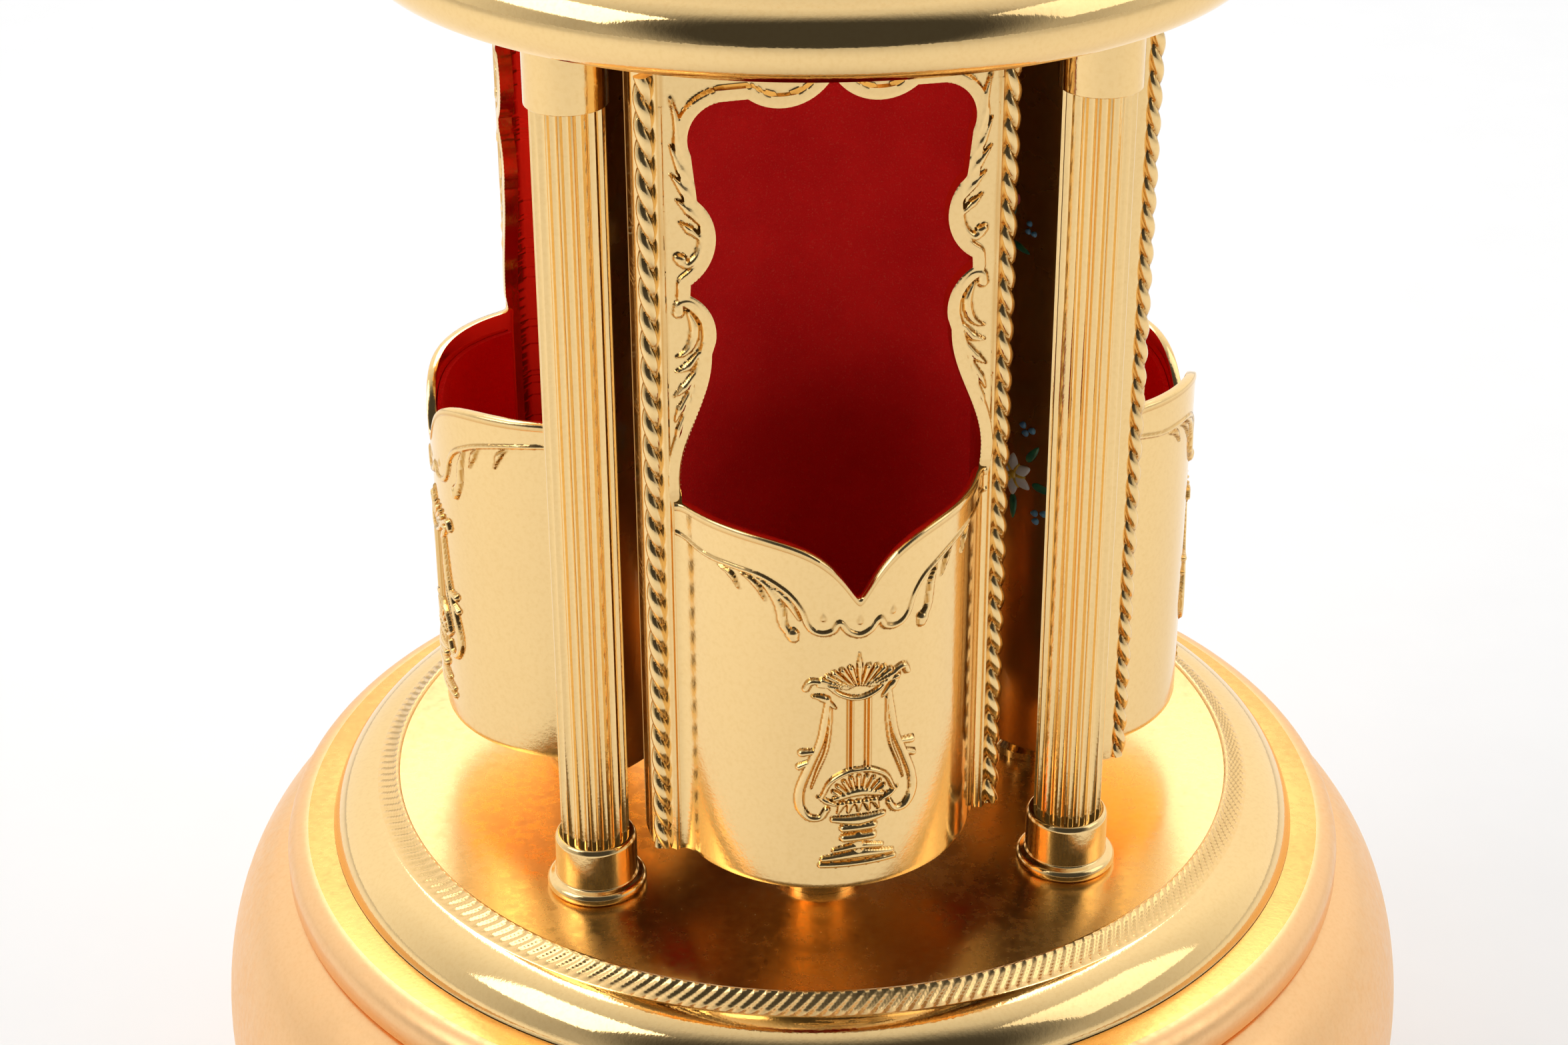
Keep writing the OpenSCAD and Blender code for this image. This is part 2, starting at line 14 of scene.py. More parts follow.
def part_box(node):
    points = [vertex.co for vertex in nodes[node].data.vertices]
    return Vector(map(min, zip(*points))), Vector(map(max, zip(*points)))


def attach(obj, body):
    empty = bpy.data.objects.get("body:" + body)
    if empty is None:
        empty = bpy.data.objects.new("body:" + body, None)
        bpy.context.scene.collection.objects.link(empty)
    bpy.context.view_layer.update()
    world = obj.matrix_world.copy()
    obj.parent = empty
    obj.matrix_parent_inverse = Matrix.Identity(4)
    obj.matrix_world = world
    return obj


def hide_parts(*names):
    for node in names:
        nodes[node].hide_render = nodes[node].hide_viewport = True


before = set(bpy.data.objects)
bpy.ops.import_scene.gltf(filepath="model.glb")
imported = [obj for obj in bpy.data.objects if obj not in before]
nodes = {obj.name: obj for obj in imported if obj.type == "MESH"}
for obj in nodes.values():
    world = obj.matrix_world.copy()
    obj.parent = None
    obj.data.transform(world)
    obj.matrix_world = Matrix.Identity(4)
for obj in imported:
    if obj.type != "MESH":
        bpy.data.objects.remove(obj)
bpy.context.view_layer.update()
MM = 0.001
SIDES = ["front", "right", "rear", "left"]


def box_mm(node):
    lo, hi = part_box(node)
    return lo / MM, hi / MM


# ---------- sizes, from the frame ----------

stage_z = box_mm("stage_disc")[1].z - 0.35
stage_r = box_mm("stage_disc")[1].x + 0.1
step_r = box_mm("step_ring")[1].x
base_r = box_mm("base_shell")[1].x
canopy_z = box_mm("canopy_plate")[0].z
canopy_r = box_mm("canopy_plate")[1].x + 1.3
dome_h = box_mm("canopy_dome")[1].z - canopy_z - 5.2
finial_z = box_mm("finial")[0].z
column_h = canopy_z - stage_z
pivot_r = -(box_mm("door_pivots_front")[0].y + box_mm("door_pivots_front")[1].y) / 2
holder_lo = box_mm("door_back_front")[0].z - stage_z - 0.02
holder_hi = box_mm("door_frame_front")[1].z - stage_z
knurl_r = 52.5
open_yaw = 12.2
bulb_top = stage_z - 11
bulb_mid = stage_z - 31
shoulder_r = step_r - 1.4
cup_r = 16.8
wall = 0.8
front_y = -5.0
frame_t = 1.2
half_w = 19.7
flat_half_w = 17.6
chamfer = half_w - flat_half_w
back_sag = 11
back_depth = 12
back_arc_r = (half_w ** 2 + back_sag ** 2) / (2 * back_sag)
back_arc_y = back_depth - back_arc_r


# ---------- materials ----------

class Tree:
    """Short way to write a node tree."""

    def __init__(self, owner):
        owner.use_nodes = True
        self.tree = owner.node_tree
        self.tree.nodes.clear()

    def add(self, kind, inputs=None, **props):
        n = self.tree.nodes.new(kind)
        for k, v in props.items():
            setattr(n, k, v)
        for k, v in (inputs or {}).items():
            if isinstance(v, bpy.types.NodeSocket):
                self.tree.links.new(v, n.inputs[k])
            else:
                n.inputs[k].default_value = v
        return n

    def noise(self, vector, scale, detail=3.0, rough=0.5):
        return self.add("ShaderNodeTexNoise", {"Vector": vector, "Scale": scale, "Detail": detail,
                                               "Roughness": rough}).outputs["Fac"]

    def spread(self, value, low, high, start=0.0, end=1.0):
        return self.add("ShaderNodeMapRange", {0: value, 1: start, 2: end, 3: low, 4: high}).outputs[0]

    def mix(self, fac, a, b):
        as_color = [v if isinstance(v, bpy.types.NodeSocket) else tuple(v) + (1,) for v in (a, b)]
        return self.add("ShaderNodeMix", {0: fac, 6: as_color[0], 7: as_color[1]},
                        data_type="RGBA").outputs[2]

    def bump(self, height, strength, distance, normal=None):
        inputs = {"Height": height, "Strength": strength, "Distance": distance}
        if normal:
            inputs["Normal"] = normal
        return self.add("ShaderNodeBump", inputs).outputs[0]

    def finish(self, inputs):
        b = self.add("ShaderNodeBsdfPrincipled", inputs)
        self.add("ShaderNodeOutputMaterial", {"Surface": b.outputs[0]})


def metal(name, color, rough, grain=0.4, grain_size=0.25, wear=0.06,
          brushed=False, bands=False, shade_crevices=False):
    """A metal with uneven polish, a fine grain in its surface and some wear; when asked, painted shade
    darkens the hollows of its relief.
    """
    mat = bpy.data.materials.new(name)
    t = Tree(mat)
    at = t.add("ShaderNodeTexCoord").outputs["Object"]
    broad = t.noise(at, 45.0, 4.0)
    fine = t.noise(at, 1 / (grain_size * MM) / 2, 2.0, 0.6)
    polish = t.add("ShaderNodeMath", {0: broad, 1: t.noise(at, 900.0)}, operation="MULTIPLY").outputs[0]
    roughness = t.spread(polish, rough * 0.75, rough * 1.6, 0.1, 0.5)
    shade = t.mix(broad, [c * (1 - wear) for c in color], [min(1, c * (1 + wear * 0.4)) for c in color])
    worn = [c * k for c, k in zip(color, (0.86, 0.8, 0.7))]
    shade = t.mix(t.spread(fine, 0, 0.35, 0.45, 0.75), shade, worn)
    # painted shade: a darker, browner gold where the mesh marks the relief's hollows and the feet of its
    # ridges
    if shade_crevices:
        crevice_shade_fac = t.add("ShaderNodeAttribute", attribute_name="painted_crevice_shade").outputs["Fac"]
        shade = t.mix(crevice_shade_fac, shade, (color[0] * 0.62, color[1] * 0.45, color[2] * 0.22))
    normal = t.bump(fine, grain, 0.02 * MM)
    inputs = {"Base Color": shade, "Metallic": 1.0, "Roughness": roughness}
    if brushed or bands:
        xyz = t.add("ShaderNodeSeparateXYZ", {0: at}).outputs
        sq = [t.add("ShaderNodeMath", {0: xyz[i], 1: 2.0}, operation="POWER").outputs[0] for i in (0, 1)]
        total = t.add("ShaderNodeMath", {0: sq[0], 1: sq[1]}).outputs[0]
        radius = t.add("ShaderNodeMath", {0: total, 1: 0.5}, operation="POWER").outputs[0]
    if brushed:
        ring = t.add("ShaderNodeTexNoise", {"W": radius, "Scale": 5000.0, "Detail": 2.0},
                     noise_dimensions="1D").outputs["Fac"]
        normal = t.bump(ring, 0.1, 0.01 * MM, normal)
        inputs["Anisotropic"] = 0.75
        inputs["Tangent"] = t.add("ShaderNodeTangent", direction_type="RADIAL", axis="Z").outputs[0]
    if bands:
        turned = t.add("ShaderNodeTexNoise", {"W": xyz[2], "Scale": 700.0, "Detail": 2.0},
                       noise_dimensions="1D").outputs["Fac"]
        normal = t.bump(turned, 0.35, 0.05 * MM, normal)
    inputs["Normal"] = normal
    t.finish(inputs)
    return mat


def enamel(name, color, dark, rough=0.3):
    """Hand-laid paint: it thins to a darker tone in places."""
    mat = bpy.data.materials.new(name)
    t = Tree(mat)
    at = t.add("ShaderNodeTexCoord").outputs["Object"]
    shade = t.mix(t.spread(t.noise(at, 500.0, 3.0), 0, 1, 0.35, 0.7), color, dark)
    t.finish({"Base Color": shade, "Roughness": t.spread(t.noise(at, 1500.0), rough * 0.8, rough * 1.3),
              "Normal": t.bump(t.noise(at, 1800.0), 0.3, 0.05 * MM), "Coat Weight": 0.3})
    return mat


def lacquer(name):
    """Brown-gold glaze over plated metal."""
    mat = bpy.data.materials.new(name)
    t = Tree(mat)
    at = t.add("ShaderNodeTexCoord").outputs["Object"]
    cloud = t.noise(at, 60.0, 5.0, 0.6)
    shade = t.mix(t.spread(cloud, 0, 1, 0.3, 0.7), (0.66, 0.33, 0.075), (0.42, 0.17, 0.03))
    t.finish({"Base Color": shade, "Metallic": 0.85, "Roughness": t.spread(cloud, 0.2, 0.34),
              "Normal": t.bump(t.noise(at, 1500.0), 0.25, 0.03 * MM), "Coat Weight": 0.5})
    return mat


def flock(name):
    """Short red pile with stray lighter fibres."""
    mat = bpy.data.materials.new(name)
    t = Tree(mat)
    at = t.add("ShaderNodeTexCoord").outputs["Object"]
    pile = t.noise(at, 5200.0, 2.0, 0.7)
    cloud = t.noise(at, 120.0, 3.0)
    shade = t.mix(t.spread(cloud, 0, 1, 0.3, 0.7), (1.0, 0.016, 0.014), (0.86, 0.009, 0.01))
    shade = t.mix(t.spread(pile, 0, 0.5, 0.56, 0.76), shade, (0.95, 0.12, 0.08))
    t.finish({"Base Color": shade, "Roughness": t.spread(pile, 0.85, 1.0),
              "Normal": t.bump(pile, 0.7, 0.25 * MM), "Sheen Weight": 0.5, "Sheen Roughness": 0.4,
              "Sheen Tint": (1.0, 0.12, 0.08, 1), "Specular IOR Level": 0.2})
    return mat


def plain(name, color, rough, metallic=0.0):
    mat = bpy.data.materials.new(name)
    t = Tree(mat)
    at = t.add("ShaderNodeTexCoord").outputs["Object"]
    n = t.noise(at, 700.0, 4.0)
    t.finish({"Base Color": t.mix(n, [c * 0.8 for c in color], color), "Metallic": metallic,
              "Roughness": t.spread(n, rough * 0.8, min(1.0, rough * 1.2)),
              "Normal": t.bump(t.noise(at, 2600.0), 0.25, 0.04 * MM)})
    return mat


GOLD = (1.0, 0.69, 0.31)
polished = metal("polished_gold", GOLD, 0.07)
# the plated gold takes the painted shade in the relief's hollows
plated = metal("plated_gold", GOLD, 0.12, grain=0.55, shade_crevices=True)
brushed = metal("brushed_gold", (1.0, 0.66, 0.28), 0.24, grain=0.04, wear=0.02, brushed=True)
satin = metal("satin_gold", (1.0, 0.60, 0.28), 0.36, grain=0.3, bands=True)
# painted shade: a darker, more orange gold for the ring's collar tucked under the stage rim
groove_shade_gold = metal("groove_shade_gold", (0.95, 0.52, 0.15), 0.25)
groove_knurl = metal("knurled_gold", (1.0, 0.66, 0.28), 0.2)
brass = metal("movement_brass", (0.80, 0.60, 0.28), 0.25)
steel = metal("steel", (0.62, 0.62, 0.63), 0.25)
spring_steel = metal("spring_steel", (0.30, 0.33, 0.42), 0.3)
zinc = plain("cast_zinc", (0.55, 0.55, 0.56), 0.5, 0.9)
rubber = plain("rubber", (0.03, 0.03, 0.03), 0.75)
black = plain("black_enamel", (0.04, 0.04, 0.045), 0.35)
red = flock("red_flock")
glaze = lacquer("painted_back")
paint = {
    "white": enamel("paint_white", (0.92, 0.91, 0.86), (0.78, 0.77, 0.72)),
    "yellow": enamel("paint_yellow", (0.90, 0.62, 0.06), (0.75, 0.42, 0.03)),
    "green": enamel("paint_green", (0.05, 0.28, 0.12), (0.02, 0.12, 0.07)),
    "pink": enamel("paint_pink", (0.80, 0.20, 0.24), (0.55, 0.06, 0.08)),
    "blue": enamel("paint_blue", (0.16, 0.42, 0.62), (0.08, 0.22, 0.42)),
}


# ---------- mesh tools ----------

def make_mesh(name, verts, faces, materials, face_material=None, sharp=38, painted_crevice_shade=None):
    mesh = bpy.data.meshes.new(name)
    mesh.from_pydata((np.asarray(verts, float) * MM).tolist(), [], faces)
    for m in materials:
        mesh.materials.append(m)
    if face_material is not None:
        mesh.polygons.foreach_set("material_index", np.asarray(face_material, np.int32))
    # painted shade per vertex: how much the plated gold is darkened there
    if painted_crevice_shade is not None:
        mesh.attributes.new("painted_crevice_shade", "FLOAT", "POINT").data.foreach_set("value", painted_crevice_shade)
    bm = bmesh.new()
    bm.from_mesh(mesh)
    bmesh.ops.remove_doubles(bm, verts=bm.verts, dist=1e-7)
    bmesh.ops.recalc_face_normals(bm, faces=bm.faces)
    bm.to_mesh(mesh)
    bm.free()
    mesh.polygons.foreach_set("use_smooth", [True] * len(mesh.polygons))
    mesh.set_sharp_from_angle(angle=math.radians(sharp))
    return mesh


def place(name, mesh, body, stands_for, matrix=None):
    o = bpy.data.objects.new(name, mesh)
    bpy.context.scene.collection.objects.link(o)
    if matrix is not None:
        o.matrix_world = matrix
        bpy.context.view_layer.update()
    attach(o, body)
    if stands_for:
        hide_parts(*stands_for)
    return o


def grid_faces(rows, cols, close_rows=False, close_cols=False, start=0):
    i, j = np.meshgrid(np.arange(rows if close_rows else rows - 1),
                       np.arange(cols if close_cols else cols - 1), indexing="ij")
    i2, j2 = (i + 1) % rows, (j + 1) % cols
    return (np.stack([i * cols + j, i * cols + j2, i2 * cols + j2, i2 * cols + j], -1).reshape(-1, 4)
            + start).tolist()


def arc(c, r, a0, a1, n=12):
    a = np.radians(np.linspace(a0, a1, n + 1))
    return [(c[0] + r * math.cos(v), c[1] + r * math.sin(v)) for v in a]


def soft(points, r=0.15, n=3):
    """Round the corners of a closed outline; a corner on the axis stays."""
    pts = [np.array(p, float) for p in points]
    out = []
    for i, p in enumerate(pts):
        u, v = pts[i - 1] - p, pts[(i + 1) % len(pts)] - p
        lu, lv = np.linalg.norm(u), np.linalg.norm(v)
        if p[0] < 1e-6 or u @ v < -0.96 * lu * lv:
            out.append(tuple(p))
            continue
        a, b = p + u / lu * min(r, 0.45 * lu), p + v / lv * min(r, 0.45 * lv)
        out += [tuple((1 - t) ** 2 * a + 2 * t * (1 - t) * p + t * t * b) for t in np.linspace(0, 1, n + 1)]
    return out


def lathe(name, profile, materials, steps=256, face_material=None, reshape=None, sharp=38):
    """Turn a closed outline of (radius, height) about the z axis."""
    p = np.array(profile, float)
    a = np.linspace(0, 2 * math.pi, steps, endpoint=False)
    r, z, th = np.repeat(p[:, :1], steps, 1), np.repeat(p[:, 1:], steps, 1), np.repeat(a[None], len(p), 0)
    if reshape:
        r, z = reshape(r, z, th)
    verts = np.stack([r * np.cos(th), r * np.sin(th), z], -1).reshape(-1, 3)
    index = None if face_material is None else np.repeat(face_material(p), steps)
    return make_mesh(name, verts, grid_faces(len(p), steps, True, True), materials, index, sharp)


def smooth_line(points, n=6):
    """A curve through the points."""
    p = np.array(points, float)
    if len(p) < 3:
        return p
    q = np.vstack([2 * p[0] - p[1], p, 2 * p[-1] - p[-2]])
    t = np.linspace(0, 1, n, endpoint=False)[:, None]
    out = [0.5 * (2 * b + (c - a) * t + (2 * a - 5 * b + 4 * c - d) * t ** 2
                  + (3 * b - a - 3 * c + d) * t ** 3)
           for a, b, c, d in zip(q[:-3], q[1:-2], q[2:-1], q[3:])]
    return np.vstack(out + [p[-1:]])


def ridge(field, s, z, points, radii, height):
    """Raise a round-backed ridge along a curve, as wide as radii says along its length."""
    line = smooth_line(points)
    rad = np.interp(np.linspace(0, 1, len(line)), np.linspace(0, 1, len(radii)), radii)
    top = max(radii)
    lo, hi = line.min(0) - top, line.max(0) + top
    near = (s > lo[0]) & (s < hi[0]) & (z > lo[1]) & (z < hi[1])
    if not near.any():
        return
    x, y, f = s[near], z[near], field[near]
    for a, b, ra, rb in zip(line[:-1], line[1:], rad[:-1], rad[1:]):
        d = b - a
        t = np.clip(((x - a[0]) * d[0] + (y - a[1]) * d[1]) / max(d @ d, 1e-9), 0, 1)
        r = np.maximum(ra + (rb - ra) * t, 0.02)
        q = np.hypot(x - a[0] - t * d[0], y - a[1] - t * d[1]) / r
        f = np.maximum(f, height * np.sqrt(r / top) * np.sqrt(np.clip(1 - q * q, 0, 1)))
    field[near] = f


def step_edge(distance, width, height, slope=0.3):
    """A raised area within width of an edge, with a sloping side."""
    return height * np.clip((width - distance) / slope + 0.5, 0, 1)


# ---------- base ----------

def bulb(inset, n=40):
    a = np.radians(np.linspace(0, 90, n))
    b = np.radians(np.linspace(0, 64, n))[1:]
    upper = np.stack([shoulder_r + (base_r - shoulder_r - inset) * np.sin(a),
                      bulb_mid + (bulb_top - bulb_mid - inset) * np.cos(a)], 1)
    lower = np.stack([base_r - 26 + (26 - inset) * np.cos(b), bulb_mid - (27 - inset) * np.sin(b)], 1)
    return np.vstack([upper, lower])


def build_base():
    foot_r, low = 57, box_mm("base_shell")[0].z
    inner = [tuple(p) for p in bulb(wall)[::-1]]
    rim = [(step_r - 6, bulb_top - wall), (step_r - 6, bulb_top)]
    foot = [(foot_r, low + 1.6), (foot_r, low), (foot_r - 5, low), (foot_r - 5, low + wall),
            (foot_r - wall, low + wall)]
    place("base_body", lathe("base_body", rim + [tuple(p) for p in bulb(0)] + foot + inner, [satin]),
          "case", ["base_shell"])
    ring = soft([(step_r - 8, bulb_top + 1.1), (step_r - 2, bulb_top + 0.1), (step_r, bulb_top + 0.3)]
                + arc((step_r - 2.6, bulb_top + 2.2), 2.6, 0, 90, 16)
                + [(stage_r - 1, stage_z - 6), (stage_r - 1, stage_z - 7.2), (step_r - 8, stage_z - 7.2)])
    # the collar under the stage rim gets the darker gold of painted shade
    place("step_ring_turned", lathe("step_ring_turned", ring, [satin, groove_shade_gold],
                                    face_material=lambda p: (p[:, 1] > stage_z - 6.2).astype(int)),
          "case", ["step_ring"])


KNURL_CUTS = 240
KNURL_WIDE = 2.5
KNURL_DEEP = 0.36


def knurl(r, z, th):
    """Slanted cuts across the sloping band round the stage."""
    inner, outer = knurl_r - 2.15, knurl_r - 0.05
    across = (r - inner) / (outer - inner)
    inside = (across > 0.01) & (across < 0.99) & (z > stage_z - 1.6)
    phase = (th + KNURL_WIDE / knurl_r * across) * KNURL_CUTS / (2 * math.pi)
    u = phase - np.floor(phase)
    cut = np.where(u < 0.3, 1 - u / 0.3, (u - 0.3) / 0.7) ** 1.3
    depth = KNURL_DEEP * cut * np.sin(np.clip(across, 0, 1) * math.pi) ** 0.4 * inside
    return r - depth * 0.6, z - depth * 0.8


def build_stage():
    roll_r = 6
    roll = arc((stage_r - roll_r, stage_z - 1.2 - roll_r), roll_r, 87, 13, 24)
    band = [(knurl_r - 2.25 + 2.2 * t, stage_z + 0.33 - 1.5 * t) for t in np.linspace(0, 1, 9)]
    top = [(0, stage_z), (knurl_r - 2.7, stage_z), (knurl_r - 2.5, stage_z + 0.3)]
    under = [(stage_r - 0.1, stage_z - 5.95), (stage_r - 1, stage_z - 5.95), (knurl_r, stage_z - 2.3),
             (0, stage_z - 2.3)]
    kind = lambda p: np.where(p[:, 0] < knurl_r - 2.6, 0, np.where(p[:, 0] < knurl_r - 0.04, 1, 2))
    mesh = lathe("stage_plate", top + band + roll + under, [brushed, groove_knurl, polished], KNURL_CUTS * 8,
                 kind, knurl, sharp=50)
    place("stage_plate", mesh, "case", ["stage_disc"])


# ---------- canopy, finial and columns ----------

def canopy_outline(inset):
    t = np.linspace(0, 1, 60)
    a = np.radians(90 * t)
    dome = np.stack([(canopy_r - 3.4 - inset) * np.cos(a) ** 0.82 + (6 - inset * 0.1) * t,
                     canopy_z + 8.2 - inset * 0.6 + (dome_h - 3) * np.sin(a)], 1)
    return (arc((canopy_r - 3, canopy_z + 2.9), 4.2 - inset, -50, 62, 28)
            + [(canopy_r - 2.4 - inset, canopy_z + 7.4 - inset * 0.4)] + [tuple(p) for p in dome])


def build_canopy():
    mesh = lathe("canopy_spun", canopy_outline(0) + canopy_outline(wall)[::-1], [polished], 320)
    place("canopy_spun", mesh,
          "case", ["canopy_dome"])
    z = finial_z
    knob = soft([(0, z), (6.5, z), (7, z + 0.6), (6.2, z + 1.6), (3.9, z + 2.6), (3.9, z + 4)], 0.3)[:-1] + \
        arc((0, z + 12.4), 9.2, -65, 62, 40) + \
        [(3.2, z + 21.6), (2.6, z + 22.6), (1.9, z + 24.6), (1.5, z + 25.6), (0.9, z + 26.2), (0, z + 26.4)]
    place("finial_knob", lathe("finial_knob", knob, [polished], 96), "centre_spindle", ["finial"])


def build_columns():
    flutes, per = 18, 14
    foot_h, capital_h, top_r, bore = 6.8, 9.0, 3.8, 1.6
    cap = column_h - capital_h
    foot = soft([(bore, 0), (5.3, 0), (5.6, 0.4), (5.6, 1), (5.3, 1.4), (4.6, 1.6), (4.6, foot_h - 0.5),
                 (4.3, foot_h), (top_r, foot_h + 0.02)], 0.2)[:-4]
    shaft = [(top_r, z) for z in np.linspace(foot_h + 0.02, cap, 12)]
    head = soft([(top_r, cap + 0.01), (4.3, cap + 0.02), (4.3, cap + 6),
                 (4.8, cap + 6.6), (5.2, cap + 8), (5.2, cap + 8.96), (bore, cap + 8.96)], 0.2)

    def flute(r, z, th):
        u = (th * flutes / (2 * math.pi)) % 1.0 - 0.5
        hollow = np.sqrt(np.clip(1 - (u / 0.42) ** 2, 0, 1))
        on = (z > foot_h + 0.015) & (z < cap + 0.005) & (r > 3)
        return r - 0.5 * hollow * on, z

    profile = foot + [(top_r, foot_h + 0.01)] + shaft + head
    mesh = lathe("column", profile, [plated], flutes * per, reshape=flute, sharp=30)
    for side in SIDES:
        lo, hi = box_mm("column_" + side)
        at = Vector(((lo.x + hi.x) / 2, (lo.y + hi.y) / 2, lo.z)) * MM
        place("fluted_column_" + side, mesh, "case", ["column_" + side],
              Matrix.Translation(at))


# ---------- holders ----------

def holder_matrix(k):
    return (Matrix.Rotation(math.radians(90 * k), 4, "Z") @ Matrix.Translation(Vector((0, -pivot_r, 0)) * MM)
            @ Matrix.Rotation(math.radians(open_yaw), 4, "Z") @ Matrix.Translation((0, 0, stage_z * MM)))


def rim_height(x):
    """The rim dips to a rounded notch in the middle."""
    return 52 - 8.6 * np.exp(-np.sqrt(x * x + 0.3) / 3.4)


def cup_relief(s, z, rim):
    """The pressed border under the rim and the lyre, by arc length and height."""
    h = np.zeros_like(s)
    edge = smooth_line([(-22, 48.6), (-17.4, 47.6), (-13.6, 47.4), (-10.3, 47.0), (-7.6, 45.5), (-6.1, 43.6),
                        (-5.5, 42.0), (-4.8, 41.1), (-3.8, 40.8), (-2.8, 41.1), (-2.1, 42.0),
                        (-1.2, 40.9), (0, 40.4), (1.2, 40.9), (2.1, 42.0), (2.7, 41.1), (3.6, 40.8),
                        (4.7, 41.1), (5.5, 42.1), (6.2, 44.0), (7.4, 45.6), (9.2, 46.7), (11.8, 47.8),
                        (16.2, 48.8), (22, 49.4)])
    below = z - np.interp(s, edge[:, 0], edge[:, 1])
    h += 0.16 * np.clip(below / 0.25, 0, 1)
    ridge(h, s, z, edge[::6], [0.3, 0.36, 0.42, 0.36, 0.3], 0.4)
    h = np.maximum(h, step_edge(rim - z, 0.85, 0.34, 0.35))
    for points, radii, height in [
            ([(-11.2, 46.9), (-9.6, 45.9), (-8.4, 43.9), (-7.9, 41.6), (-6.9, 40.4)], [0.2, 0.5, 0.5, 0.45],
             0.45),
            ([(-9.9, 46.6), (-7.6, 44.6), (-6.3, 42.4)], [0.15, 0.45, 0.2], 0.4),
            ([(9.2, 46.4), (8.5, 44.4), (8.1, 41.9), (7.2, 40.5)], [0.2, 0.45, 0.5, 0.6], 0.45),
            ([(-15.4, 46.9), (-13.8, 46.3), (-12.9, 44.9)], [0.1, 0.4, 0.12], 0.35),
            ([(-12.6, 46.8), (-11.0, 46.0), (-9.9, 44.2)], [0.1, 0.4, 0.12], 0.35),
            ([(11.6, 47.4), (10.8, 46.3), (10.1, 44.6)], [0.1, 0.42, 0.12], 0.35),
            ([(15.4, 48.2), (14.4, 47.2), (13.8, 45.6)], [0.1, 0.4, 0.12], 0.35),
            ([(-7.0, 40.6), (-6.9, 40.2)], [0.75, 0.6], 0.6), ([(7.3, 40.6), (7.2, 40.2)], [0.75, 0.6], 0.6),
            ([(-3.8, 42.6), (-3.8, 43.4)], [0.45, 0.1], 0.3), ([(0, 42.0), (0, 43.0)], [0.45, 0.1], 0.3),
            ([(3.6, 42.6), (3.6, 43.4)], [0.45, 0.1], 0.3)]:
        ridge(h, s, z, points, radii, height)
    # lyre: crown of petals, scrolled arms, strings, sunburst and a footed bowl
    z = 37.6 - (38.2 - z) / 0.96
    ridge(h, s, z, [(0, 36.0), (0, 37.6)], [0.35, 0.08], 0.45)
    for a in np.linspace(-74, 74, 13):
        u, v = math.sin(math.radians(a)), math.cos(math.radians(a))
        ridge(h, s, z, [(u * 1.2, 33.2 + v * 0.4), (u * 4.4, 33.2 + v * 2.7)], [0.12, 0.33], 0.5)
    ridge(h, s, z, [(-5.6, 33.4), (-5.0, 34.3), (-3.6, 34.0), (-2.0, 32.6), (0, 32.0), (2.0, 32.7),
                    (3.6, 34.3), (4.9, 35.0), (5.4, 34.2)], [0.4, 0.4, 0.3, 0.3, 0.3, 0.3, 0.4, 0.4], 0.5)
    ridge(h, s, z, [(-4.9, 32.5), (-3.8, 32.2), (-2.6, 31.0)], [0.2, 0.5, 0.2], 0.45)
    ridge(h, s, z, [(4.5, 34.0), (3.6, 32.9), (2.6, 31.8)], [0.2, 0.5, 0.2], 0.45)
    for m in (-1, 1):
        arm = [(m * 3.3, 32.2), (m * 3.6, 29.6), (m * 4.1, 26.6), (m * 5.2, 23.6), (m * 6.2, 20.6),
               (m * 6.3, 18.4), (m * 5.4, 16.9), (m * 4.1, 16.8), (m * 3.4, 17.9)]
        ridge(h, s, z, arm, [0.3, 0.42, 0.42, 0.5, 0.55, 0.5, 0.4, 0.35], 0.55)
        ridge(h, s, z, [(m * 3.0, 31.4), (m * 3.1, 28.6), (m * 3.5, 25.6), (m * 4.4, 22.9), (m * 5.1, 20.6)],
              [0.12, 0.2, 0.22, 0.2, 0.1], 0.35)
        ridge(h, s, z, [(m * 4.9, 25.4), (m * 6.0, 25.2)], [0.35, 0.5], 0.55)
        ridge(h, s, z, [(m * 5.0, 24.2), (m * 6.3, 23.4)], [0.2, 0.42], 0.5)
        for x in (0.75, 1.15):
            ridge(h, s, z, [(m * x, 32.0), (m * x, 22.4)], [0.16, 0.16], 0.36)
        ridge(h, s, z, [(m * 2.4, 18.4), (m * 3.4, 18.9), (m * 4.4, 19.6)], [0.2, 0.4, 0.15], 0.45)
    ridge(h, s, z, [(-3.9, 19.6), (-3.0, 21.5), (-1.4, 22.6), (0, 22.8), (1.4, 22.6), (3.0, 21.5),
                    (3.9, 19.6)],
          [0.25, 0.32, 0.32, 0.32, 0.25], 0.5)
    for a in np.linspace(-66, 66, 9):
        u, v = math.sin(math.radians(a)), math.cos(math.radians(a))
        ridge(h, s, z, [(u * 1.7, 18.9 + v * 1.4), (u * 3.0, 19.0 + v * 2.9)], [0.2, 0.26], 0.42)
    ridge(h, s, z, [(-2.6, 19.2), (0, 19.9), (2.6, 19.2)], [0.3, 0.62, 0.3], 0.5)
    for x in (-2.2, -1.1, 0, 1.1, 2.2):
        ridge(h, s, z, [(x * 0.8, 18.5), (x, 17.4)], [0.45, 0.2], 0.45)
    ridge(h, s, z, [(-2.7, 16.5), (0, 16.2), (2.7, 16.5)], [0.4, 0.75, 0.4], 0.6)
    ridge(h, s, z, [(-1.6, 15.3), (1.6, 15.3)], [0.5, 0.5], 0.6)
    ridge(h, s, z, [(-1.5, 14.0), (1.5, 14.0)], [0.55, 0.55], 0.62)
    ridge(h, s, z, [(0, 14.0), (0, 12.0)], [0.75, 0.6], 0.5)
    ridge(h, s, z, [(-2.6, 12.4), (0, 12.8), (2.6, 12.4)], [0.3, 0.5, 0.3], 0.5)
